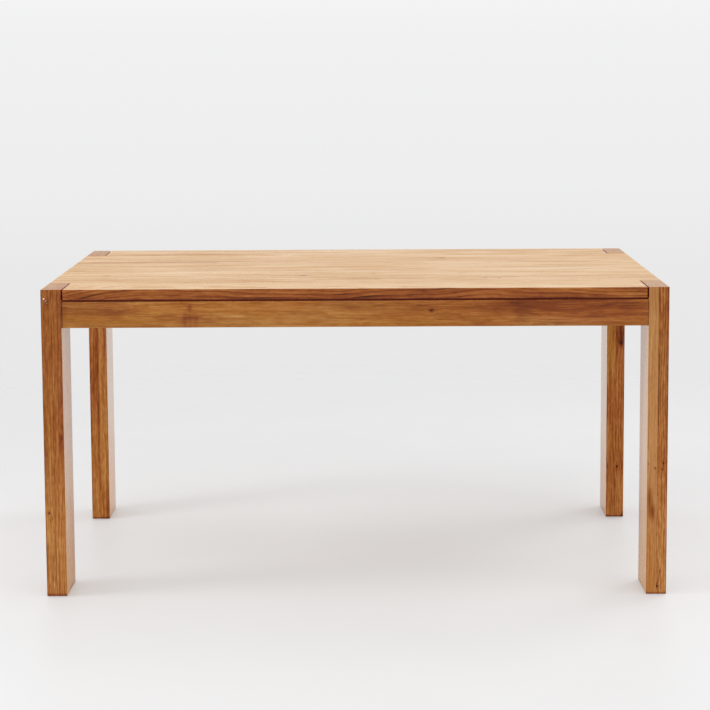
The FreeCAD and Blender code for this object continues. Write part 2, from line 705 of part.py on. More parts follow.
glide = new_body("glide_master")
revolve(glide, "turned", [(3.2, 0), (glide_r - 1, 0), (glide_r, 1), (glide_r, glide_t),
                          (nail_r + 0.15, glide_t), (nail_r + 0.15, 1.8), (3.2, 1.8)])
nail = new_body("nail_master")
revolve(nail, "turned", [(0, 0.8), (2.6, 0.8), (2.9, 1.1), (2.9, 1.8), (nail_r, 1.8),
                         (nail_r, 19), (0.2, 21), (0, 21)])
glide_spots = []
for end, sy in ENDS:
    for side, sx in SIDES:
        cx = (width / 2 - leg_x / 2) * sx
        cy = (depth / 2 - leg_y / 2) * sy
        reach = leg_y / 2 - glide_inset
        glide_spots.append((cx + (leg_x / 4) * sx, cy + reach * sy, 0, UP))
        glide_spots.append((cx - (leg_x / 4) * sx, cy - reach * sy, 0, UP))
group("floor_glides", glide, glide_spots)
group("glide_nails", nail, glide_spots)


# ------------------------------------------------------------------- writing

doc.recompute()

failed = [o.Name for o in doc.Objects if "Invalid" in o.State or "Error" in o.State]
if failed:
    raise RuntimeError("failed objects: " + ", ".join(failed))
loose = [o.Label for o in doc.Objects
         if o.TypeId == "Sketcher::SketchObject" and o.solve() != 0]
if loose:
    raise RuntimeError("unsolved sketches: " + ", ".join(loose))
for name, obj in nodes:
    shape = obj.Shape
    if shape.isNull() or not shape.isValid() or not shape.Solids:
        raise RuntimeError("bad shape: " + name)
    if any(s.Volume <= 0 for s in shape.Solids):
        raise RuntimeError("empty solid: " + name)
if len(set(name for name, obj in nodes)) != len(nodes):
    raise RuntimeError("two nodes share a name")

os.makedirs("parts", exist_ok=True)
for name, obj in nodes:
    obj.Shape.exportStep("parts/%s.step" % name)
    box = obj.Shape.BoundBox
    print("%-24s %3d solids %12.0f mm3  x %8.2f %8.2f  y %8.2f %8.2f  z %7.2f %7.2f" % (
        name, len(obj.Shape.Solids), obj.Shape.Volume,
        box.XMin, box.XMax, box.YMin, box.YMax, box.ZMin, box.ZMax))
print("%d nodes" % len(nodes))
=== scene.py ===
import math

import bpy
import numpy as np
from mathutils import Matrix, Vector


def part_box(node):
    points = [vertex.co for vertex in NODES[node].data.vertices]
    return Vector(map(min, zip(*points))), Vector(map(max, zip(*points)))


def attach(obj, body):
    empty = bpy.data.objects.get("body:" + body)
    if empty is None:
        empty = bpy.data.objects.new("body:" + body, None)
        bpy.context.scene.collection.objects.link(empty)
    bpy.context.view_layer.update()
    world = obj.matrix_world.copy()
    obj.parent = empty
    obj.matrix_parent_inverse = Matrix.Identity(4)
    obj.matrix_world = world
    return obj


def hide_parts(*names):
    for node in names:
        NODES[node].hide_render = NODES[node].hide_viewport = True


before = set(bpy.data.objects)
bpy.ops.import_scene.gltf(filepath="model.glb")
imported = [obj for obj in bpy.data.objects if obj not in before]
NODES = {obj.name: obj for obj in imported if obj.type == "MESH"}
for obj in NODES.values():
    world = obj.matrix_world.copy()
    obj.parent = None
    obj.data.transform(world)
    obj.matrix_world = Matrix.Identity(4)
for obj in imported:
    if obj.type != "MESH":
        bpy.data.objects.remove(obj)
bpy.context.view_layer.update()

scene = bpy.context.scene
MM = 0.001


# --------------------------------------------------------------------------
# Shader arithmetic: a value in a node tree that can be added and multiplied.

class Val:
    def __init__(self, net, socket):
        self.net, self.socket = net, socket

    def __add__(self, o):
        return self.net.math("ADD", self, o)

    def __sub__(self, o):
        return self.net.math("SUBTRACT", self, o)

    def __mul__(self, o):
        return self.net.math("MULTIPLY", self, o)

    def __truediv__(self, o):
        return self.net.math("DIVIDE", self, o)

    def __neg__(self):
        return self.net.math("MULTIPLY", self, -1.0)

    __radd__ = __add__
    __rmul__ = __mul__

    def __rsub__(self, o):
        return self.net.math("SUBTRACT", o, self)


class Net:
    def __init__(self, name):
        self.material = bpy.data.materials.new(name)
        self.material.use_nodes = True
        self.tree = self.material.node_tree
        self.tree.nodes.clear()
        self.out = self.node("ShaderNodeOutputMaterial")
        self.bsdf = self.node("ShaderNodeBsdfPrincipled")
        self.tree.links.new(self.bsdf.outputs["BSDF"], self.out.inputs["Surface"])
        coord = self.node("ShaderNodeTexCoord")
        scaled = self.node("ShaderNodeVectorMath", operation="SCALE")
        self.tree.links.new(coord.outputs["Object"], scaled.inputs[0])
        scaled.inputs["Scale"].default_value = 1000.0
        apart = self.node("ShaderNodeSeparateXYZ")
        self.tree.links.new(scaled.outputs[0], apart.inputs[0])
        self.xyz = [Val(self, apart.outputs[i]) for i in range(3)]

    def node(self, kind, **props):
        n = self.tree.nodes.new(kind)
        for k, v in props.items():
            setattr(n, k, v)
        return n

    def put(self, socket, value):
        if isinstance(value, Val):
            self.tree.links.new(value.socket, socket)
        else:
            socket.default_value = value

    def math(self, op, *args, clamp=False):
        n = self.node("ShaderNodeMath", operation=op, use_clamp=clamp)
        for i, a in enumerate(args):
            self.put(n.inputs[i], a)
        return Val(self, n.outputs[0])

    def vector(self, x, y, z):
        n = self.node("ShaderNodeCombineXYZ")
        for i, a in enumerate((x, y, z)):
            self.put(n.inputs[i], a)
        return Val(self, n.outputs[0])

    def noise(self, vector, detail=2.0, rough=0.5, distortion=0.0):
        """Three independent noises from 0 to 1 round 0.5, as (r, g, b)."""
        n = self.node("ShaderNodeTexNoise", noise_dimensions="3D")
        self.put(n.inputs["Vector"], vector)
        n.inputs["Scale"].default_value = 1.0
        n.inputs["Detail"].default_value = detail
        n.inputs["Roughness"].default_value = rough
        n.inputs["Distortion"].default_value = distortion
        apart = self.node("ShaderNodeSeparateColor")
        self.tree.links.new(n.outputs["Color"], apart.inputs[0])
        return [Val(self, apart.outputs[i]) for i in range(3)]

    def step(self, value, low, high, to_low=0.0, to_high=1.0):
        """Smooth change from to_low to to_high as value goes from low to high."""
        n = self.node("ShaderNodeMapRange", interpolation_type="SMOOTHSTEP")
        for i, a in enumerate((value, low, high, to_low, to_high)):
            self.put(n.inputs[i], a)
        return Val(self, n.outputs[0])

    def hump(self, squared):
        """exp(-squared)."""
        return self.math("POWER", math.e, self.math("MULTIPLY", squared, -1.0))

    def ramp(self, value, stops):
        n = self.node("ShaderNodeValToRGB")
        while len(n.color_ramp.elements) > 1:
            n.color_ramp.elements.remove(n.color_ramp.elements[-1])
        first = True
        for at, colour in stops:
            e = n.color_ramp.elements[0] if first else n.color_ramp.elements.new(at)
            e.position = at
            e.color = (*colour, 1.0)
            first = False
        self.put(n.inputs[0], value)
        return Val(self, n.outputs[0])

    def mix(self, factor, a, b, blend="MIX"):
        n = self.node("ShaderNodeMix", data_type="RGBA", blend_type=blend)
        n.clamp_factor = True
        for socket, value in ((n.inputs["Factor"], factor), (n.inputs[6], a), (n.inputs[7], b)):
            if isinstance(value, tuple):
                value = (*value, 1.0)
            self.put(socket, value)
        return Val(self, n.outputs[2])

    def normal_along(self, axis):
        g = self.node("ShaderNodeNewGeometry")
        apart = self.node("ShaderNodeSeparateXYZ")
        self.tree.links.new(g.outputs["Normal"], apart.inputs[0])
        return self.math("ABSOLUTE", Val(self, apart.outputs[axis]))

    def attribute(self, name):
        n = self.node("ShaderNodeAttribute", attribute_name=name)
        return Val(self, n.outputs["Fac"])

    def bump(self, height, strength, distance):
        n = self.node("ShaderNodeBump")
        n.inputs["Strength"].default_value = strength
        n.inputs["Distance"].default_value = distance
        self.put(n.inputs["Height"], height)
        self.tree.links.new(n.outputs["Normal"], self.bsdf.inputs["Normal"])


# --------------------------------------------------------------------------
# Teak. Colours are linear. The same board in three hues, each from its
# palest early wood to its darkest line.

GOLD = [(0.00, (0.610, 0.335, 0.100)), (0.28, (0.475, 0.210, 0.044)), (0.50, (0.370, 0.134, 0.019)),
        (0.72, (0.248, 0.073, 0.009)), (1.00, (0.080, 0.019, 0.004))]
RED = [(0.00, (0.580, 0.270, 0.095)), (0.28, (0.440, 0.155, 0.038)), (0.50, (0.328, 0.092, 0.017)),
       (0.72, (0.200, 0.044, 0.008)), (1.00, (0.060, 0.011, 0.003))]
TAN = [(0.00, (0.670, 0.445, 0.225)), (0.28, (0.530, 0.300, 0.122)), (0.50, (0.415, 0.205, 0.075)),
       (0.72, (0.285, 0.118, 0.036)), (1.00, (0.100, 0.033, 0.010))]
# Painted shade: the insides of the shadow gap and of the slots round the legs are
# painted these deep red browns, for the light that goes from wood to wood inside a
# narrow gap and turns deep red. The slots round the legs are narrower than the
# shadow gap, so less light comes out.
PAINTED_GAP_SHADE, PAINTED_SLOT_SHADE = (0.200, 0.018, 0.001), (0.360, 0.024, 0.001)


def teak(name, axis, centre, seed, pith=(0.0, -60.0), pitch=7.0, tone=0.50, hue=0.35, pale=0.10, bands=0.35,
         figure=0.45, contrast=1.0, rings=1.0, wander=14.0, slope=(0.0, 0.0), knots=(), patches=(), flecks=(), glue=(),
         side=None, ends=(), above=(), slots=(), curls=(), rough=0.22, gloss=0.25, vary=1.0, strokes=1.0,
         stretch=1.0, ior=1.27, end_tone=0.55, end_tan=0.30, arris=0.0, wear=1.0):
    """A solid piece of teak.

    axis is the grain's axis, and centre the two cross coordinates (mm) of the
    board's middle, in cyclic order. pith is the tree's centre from there.
    knots: (along, across, which cross axis it is measured on, radius, strength)
    patches: (along, u, v, r_along, r_u, r_v, darker, redder, tanner), gaussian
    flecks: (along, u, v, radius): small pale spots of filler or bare wood
    glue: (cross axis, coordinate): the glue lines at the board's edges
    side: (axis, darker, redder, tanner, smoother, varnish, v, width, darker at v,
    smoother near the floor): the two faces across that axis differ. On the legs' inner faces the paler colour is
    painted sheen, and darker at v below zero is a paler strip of painted light along the front; on the slab's edge
    boards the edge faces are darker, redder wood.
    curls: (along, radius, u, v): the fibres bow by u and v there
    ends: (along, width, darker): dark red lines across the grain, painted shade in the joints beside the legs, in the
    slab's slots and at a leg's foot
    above: (cross axis, from, to, darker, redder, colour): darker from one
    coordinate on, or the given colour there; in the aprons' shadow gap this is painted shade
    slots: (cross axis, coordinate): a leg's faces in the slots through the slab,
    which are painted dark red with shade above SLAB_Z. arris is how much darker the eased edges are, as painted shade.
    """
    net = Net("teak_" + name)
    b, c = (axis + 1) % 3, (axis + 2) % 3
    L = net.xyz[axis]
    U = net.xyz[b] - centre[0]
    V = net.xyz[c] - centre[1]
    s = float(seed)

    # The slow wander of the fibres, and the boards' slope against the grain.
    warp = net.noise(net.vector(L * 0.0021 + s * 7.31, U * 0.0075 + s, V * 0.0075 - s), 2.0, 0.45)
    ripple = net.noise(net.vector(L * 0.0130 - s * 2.3, U * 0.030, V * 0.030 + s), 2.0, 0.5)
    uu = U + (warp[0] - 0.5) * (2.0 * wander) + (ripple[0] - 0.5) * (0.30 * wander)
    vv = V + (warp[1] - 0.5) * (2.0 * wander) + (ripple[1] - 0.5) * (0.30 * wander)
    if slope[0]:
        uu = uu + L * slope[0]
    if slope[1]:
        vv = vv + L * slope[1]
    for l0, radius, du, dv in curls:
        e = (L - l0) / radius
        e = net.hump(e * e)
        uu = uu + e * du
        vv = vv + e * dv

    a = uu - pith[0]
    d = vv - pith[1]
    rho = net.math("SQRT", a * a + d * d)

    dark = None
    for (l0, across, cross, radius, strength) in knots:
        off = (U if cross == 0 else V) - across
        along = (L - l0) * 0.70
        dist = net.math("SQRT", along * along + off * off)
        swirl = dist / (radius * 3.0)
        rho = rho + net.hump(swirl * swirl) * (radius * 1.6)
        core = net.step(dist, radius * 0.5, radius * 1.15, strength, 0.0)
        halo = net.step(dist, radius * 0.9, radius * 3.4, 0.20 * strength, 0.0)
        dark = core + halo if dark is None else dark + core + halo

    wide = net.noise(net.vector(L * 0.0024 + s * 1.9, U * 0.018 + s * 4.3, V * 0.018 - s * 2.7), 2.0, 0.55)
    tones = net.noise(net.vector(L * (0.0045 / stretch) + s * 3.7, uu * 0.042 + s * 1.3, vv * 0.042), 2.5, 0.60)
    streaks = net.noise(net.vector(L * (0.0095 / stretch) - s * 5.1, uu * 0.24, vv * 0.24 + s * 2.2), 2.5, 0.62)
    fibres = net.noise(net.vector(L * 0.0300 + s, uu * 0.95 - s, vv * 0.95), 2.0, 0.65)
    mottle = net.noise(net.vector(L * 0.0550 - s * 3.1, U * 0.20 + s, V * 0.20), 2.0, 0.55)
    pores = net.noise(net.vector(L * 0.0700 - s, uu * 2.60, vv * 2.60 + s), 1.0, 0.50)

    phase = rho / pitch + (tones[2] - 0.5) * 1.8
    part = net.math("FRACT", phase)
    late = net.step(part, 0.35, 0.94) * net.step(part, 0.94, 1.0, 1.0, 0.0)
    # Some rings are much plainer than others.
    late = late * net.step(streaks[2], 0.30, 0.66, 0.30, 1.0)

    # End grain has its rings and pores, and hardly a streak.
    end = net.step(net.normal_along(axis), 0.55, 0.85)
    k = contrast
    t = (tones[0] - 0.5) * (figure * k) + (streaks[0] - 0.5) * (0.72 * k)
    t = t + (fibres[0] - 0.5) * (0.42 * k * strokes) + (mottle[0] - 0.5) * (0.36 * k * strokes)
    t = t * (1.0 - end * 0.60) + (wide[0] - 0.5) * bands
    t = t + (late - 0.35) * (end * 0.20 + 0.24 * rings)
    pore = net.step(pores[0], 0.60, 0.72)
    t = t + pore * 0.12
    # Dark wood is a little rougher than pale.
    matt = t * gloss
    t = t + tone
    h = (wide[1] - 0.5) * 1.3 + (tones[1] - 0.5) * (0.7 * vary) + (streaks[1] - 0.5) * (0.5 * vary) + hue
    tan = (wide[2] - 0.5) * (0.4 + 0.8 * vary) + (streaks[2] - 0.5) * (0.5 * vary) + pale

    for (l0, u0, v0, rl, ru, rv, darker, redder, *tanner) in patches:
        q = None
        for coord, at, r in ((L, l0, rl), (U, u0, ru), (V, v0, rv)):
            if r:
                e = (coord - at) / r
                e = e * e
                q = e if q is None else q + e
        m = net.hump(q) * net.step(streaks[1], 0.25, 0.70, 0.55, 1.25)
        t = t + m * darker
        if redder:
            h = h + m * redder
        if tanner:
            tan = tan + m * tanner[0]
    t = net.math("MINIMUM", t, (t - 0.66) * 0.55 + 0.66)
    if dark is not None:
        t = t + dark
        h = h + dark * 0.6
    for cross, at in glue:
        dist = net.math("ABSOLUTE", (net.xyz[b] if cross == 0 else net.xyz[c]) - at)
        t = t + net.step(dist, 0.15, 1.1, 0.20, 0.0)
    # Painted shade across the grain: darker, redder lines at the joints, slots and feet.
    for at, width, darker in ends:
        dist = net.math("ABSOLUTE", L - at)
        t = t + net.step(dist, width * 0.35, width, darker, 0.0)
        h = h + net.step(dist, width * 0.35, width, 0.5, 0.0)
    # Painted shade colours for the gaps and slots, each with its mask.
    painted_gap_shades = []
    # Darker from one coordinate on; a given colour is painted shade in the shadow gap.
    for cross, start, stop, darker, redder, *inside in above:
        m = net.step(net.xyz[b] if cross == 0 else net.xyz[c], start, stop)
        painted_gap_shades += [(m, v) for v in inside]
        t = t + m * darker
        h = h + m * redder
    # Painted shade: a leg's faces in the slab's slots are dark red above SLAB_Z.
    for cross, at in slots:
        dist = net.math("ABSOLUTE", (net.xyz[b] if cross == 0 else net.xyz[c]) - at)
        m = net.step(dist, 0.5, 1.1, 1.0, 0.0) * net.step(L, SLAB_Z - 0.6, SLAB_Z)
        painted_gap_shades.append((m, PAINTED_SLOT_SHADE))
        t = t + m * 0.42
        h = h + m * 0.5
        tan = tan - m * 0.8
    flank = None
    # On the legs' inner faces: paler, as painted sheen. On the slab's edge boards: darker, redder wood.
    if side:
        flank = net.step(net.normal_along(side[0]), 0.35, 0.80)
        t = t + flank * side[1]
        h = h + flank * side[2]
        tan = tan + flank * side[3]
    # A paler strip of painted light along the front of a leg's inner face, and a coat on that face.
    if side and len(side) > 5:
        e = (V - side[6]) / side[7]
        t = t + flank * net.hump(e * e) * side[8]
        net.put(net.bsdf.inputs["Coat Weight"], flank * net.step(L, 40.0, 380.0, 0.25 * side[5], side[5]))
        net.bsdf.inputs["Coat Roughness"].default_value = 0.08

    t = t + end * (end_tone - tone)
    tan = tan + end * (end_tan - pale)
    h = h - end * 0.2
    # The eased edges: a little paler with wear, and darker by arris, which is painted shade.
    if wear:
        wear_and_edge_shade = net.attribute("wear_and_edge_shade")
        t = t - wear_and_edge_shade * net.step(fibres[1], 0.42, 0.62, -arris, 0.08 * wear - arris)

    # Pale wood keeps some of its figure.
    t = net.math("MAXIMUM", t, (t - 0.09) * 0.42 + 0.09)
    if side and len(side) > 5:
        t = net.math("MAXIMUM", t, (streaks[0] - 0.5) * 0.85 + (fibres[0] - 0.5) * 0.50 + (late - 0.35) * 0.14)
    t = net.math("ADD", t, 0.0, clamp=True)
    h = net.math("ADD", h, 0.0, clamp=True)
    tan = net.math("ADD", tan, 0.0, clamp=True)
    colour = net.mix(h, net.ramp(t, GOLD), net.ramp(t, RED))
    colour = net.mix(tan, colour, net.ramp(t, TAN))
    # Paint the shade colours of the gaps and slots over the wood.
    for m, inside in painted_gap_shades:
        colour = net.mix(m, colour, inside)
    for (l0, u0, v0, radius) in flecks:
        q = None
        for coord, at in ((L, l0), (U, u0), (V, v0)):
            e = (coord - at) / radius
            e = e * e
            q = e if q is None else q + e
        q = q + (fibres[2] - 0.5) * 0.8
        colour = net.mix(net.step(q, 0.6, 1.2, 0.97, 0.0), colour, (0.92, 0.80, 0.66))
    net.put(net.bsdf.inputs["Base Color"], colour)

    skin = (fibres[2] - 0.5) * 0.10 + pore * 0.10 + end * 0.12 + matt + rough
    height = (fibres[0] - 0.5) * 0.6 - pore * 0.8 + late * 0.25 + (streaks[0] - 0.5) * 0.9
    if flank is not None and side[4]:
        smooth = net.step(L, 40.0, 330.0, side[9], side[4]) if len(side) > 9 else side[4]
        skin = skin - flank * smooth
        height = height * (1.0 - flank * min(1.0, 9.0 * side[4]))
    net.put(net.bsdf.inputs["Roughness"], net.math("MAXIMUM", skin, 0.10))
    net.bsdf.inputs["IOR"].default_value = ior
    net.bump(height, 0.35, 0.00025)
    return net.material


# --------------------------------------------------------------------------
# Boards. A rectilinear section, its corners rounded, is carried along the
# grain with its ends eased. Every length is in mm.

def waves(seed, count=4, shortest=45.0, longest=420.0):
    """A smooth function of length, from about -1 to 1, the same on each run."""
    rng = np.random.RandomState(seed)
    lengths = np.exp(rng.uniform(np.log(shortest), np.log(longest), count))
    phases = rng.uniform(0, 2 * math.pi, count)

    def at(x):
        return float(np.sin(2 * math.pi * x / lengths + phases).mean() * 1.4)
    return at


ARC = 4


def section(corners, radii, inset, spacing):
    """The outline's points, each with how far it is on a rounded edge."""
    n = len(corners)
    base = [np.array(p, float) for p in corners]
    steps = [base[(i + 1) % n] - base[i] for i in range(n)]
    dirs = [v / np.linalg.norm(v) for v in steps]
    inward = [np.array((-v[1], v[0])) for v in dirs]
    moved = [base[i] + inward[i] * inset[i] + inward[i - 1] * inset[i - 1] for i in range(n)]
    points, wear_and_edge_shade = [], []
    for i in range(n):
        r, v, d_in, d_out = radii[i], moved[i], dirs[i - 1], dirs[i]
        centre = v - d_in * r + d_out * r
        for k in range(ARC + 1):
            a = math.pi / 2 * k / ARC
            points.append(centre - d_out * r * math.cos(a) + d_in * r * math.sin(a))
            wear_and_edge_shade.append(1.0 if radii[i] > 0.6 else 0.25)
        nxt = (i + 1) % n
        start = v + d_out * r
        stop = moved[nxt] - d_out * radii[nxt]
        length = float(np.dot(base[nxt] - base[i], d_out))
        guard = min(1.6, length * 0.12)
        cuts = max(1, int(round((length - 2 * guard) / spacing)))
        run = float(np.dot(stop - start, d_out))
        for k in range(cuts + 1):
            f = guard + (run - 2 * guard) * k / cuts
            points.append(start + d_out * f)
            wear_and_edge_shade.append(0.0)
    return points, wear_and_edge_shade


def board(name, node, axis, span, corners, radii, material, ends=((2.2, ()), (2.2, ())),
          spacing=12.0, step=12.0, seed=1, flat=0.10, breaks=()):
    """A board along an axis. radii are numbers, or functions of the length.

    ends gives, for the low and the high end, the easing radius and the edges
    of the section that it is eased towards.
    """
    n = len(corners)
    lo, hi = span
    wobble = [waves(seed * 31 + i, 4, 38.0, 300.0) for i in range(n)]
    lean = [waves(seed * 57 + i, 3, 170.0, 900.0) for i in range(n)]

    stations = []
    for end, (r, sides) in enumerate(ends):
        for k in range(ARC + 1):
            a = math.pi / 2 * k / ARC
            stations.append((lo + r * (1 - math.cos(a)) if end == 0 else hi - r * (1 - math.cos(a)),
                             end, r * (1 - math.sin(a))))
    inner_lo = lo + ends[0][0] + 1.6
    inner_hi = hi - ends[1][0] - 1.6
    count = max(2, int(round((inner_hi - inner_lo) / step)))
    cuts = sorted(set([inner_lo + (inner_hi - inner_lo) * k / count for k in range(count + 1)] + list(breaks)))
    stations += [(x, None, 0.0) for x in cuts]
    stations.sort(key=lambda q: q[0])

    verts, wear_and_edge_shade_all, rings = [], [], []
    b, c = (axis + 1) % 3, (axis + 2) % 3
    for x, end, cut in stations:
        rr = []
        for i in range(n):
            r = radii[i](x) if callable(radii[i]) else radii[i]
            r = r * (1.0 + 0.20 * wobble[i](x)) if r > 0.6 else r
            if end is not None and r > 0.6 and (i in ends[end][1] or (i - 1) % n in ends[end][1]):
                r = max(r - cut, 0.25)
            rr.append(r)
        inset = [flat * (0.5 + 0.5 * lean[i](x)) if flat else 0.0 for i in range(n)]
        inset = [max(0.0, v) for v in inset]
        if end is not None:
            for i in ends[end][1]:
                inset[i] += cut
        points, wear_and_edge_shade = section(corners, rr, inset, spacing)
        ring = []
        for (p, q), w in zip(points, wear_and_edge_shade):
            v = [0.0, 0.0, 0.0]
            v[axis], v[b], v[c] = x, p, q
            ring.append(len(verts))
            verts.append([e * MM for e in v])
            wear_and_edge_shade_all.append(max(w, 0.0 if end is None or not ends[end][1] else 1.0))
        rings.append(ring)

    faces = []
    m = len(rings[0])
    for i in range(len(rings) - 1):
        r0, r1 = rings[i], rings[i + 1]
        for j in range(m):
            k = (j + 1) % m
            faces.append((r0[j], r0[k], r1[k], r1[j]))
    faces.append(tuple(reversed(rings[0])))
    faces.append(tuple(rings[-1]))

    mesh = bpy.data.meshes.new(name)
    mesh.from_pydata(verts, [], faces)
    mesh.validate()
    attribute = mesh.attributes.new("wear_and_edge_shade", "FLOAT", "POINT")
    attribute.data.foreach_set("value", wear_and_edge_shade_all)
    mesh.materials.append(material)
    mesh.shade_smooth()
    obj = bpy.data.objects.new(name, mesh)
    scene.collection.objects.link(obj)
    weighted = obj.modifiers.new("weighted", "WEIGHTED_NORMAL")
    weighted.weight = 80
    weighted.keep_sharp = False
    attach(obj, "root")
    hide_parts(node)
    return obj


# --------------------------------------------------------------------------
# The table.

W, D, H = 1524.0, 914.0, 762.0
LEG_X, LEG_Y = 50.0, 133.0
SLAB, GAP = 25.0, 3.0
SLAB_Z = H - SLAB
APRON_Z = SLAB_Z - 69.0
EASE = 1.6
CRISP = 1.1


def mm_box(node):
    lo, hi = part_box(node)
    return [v * 1000 for v in lo], [v * 1000 for v in hi]


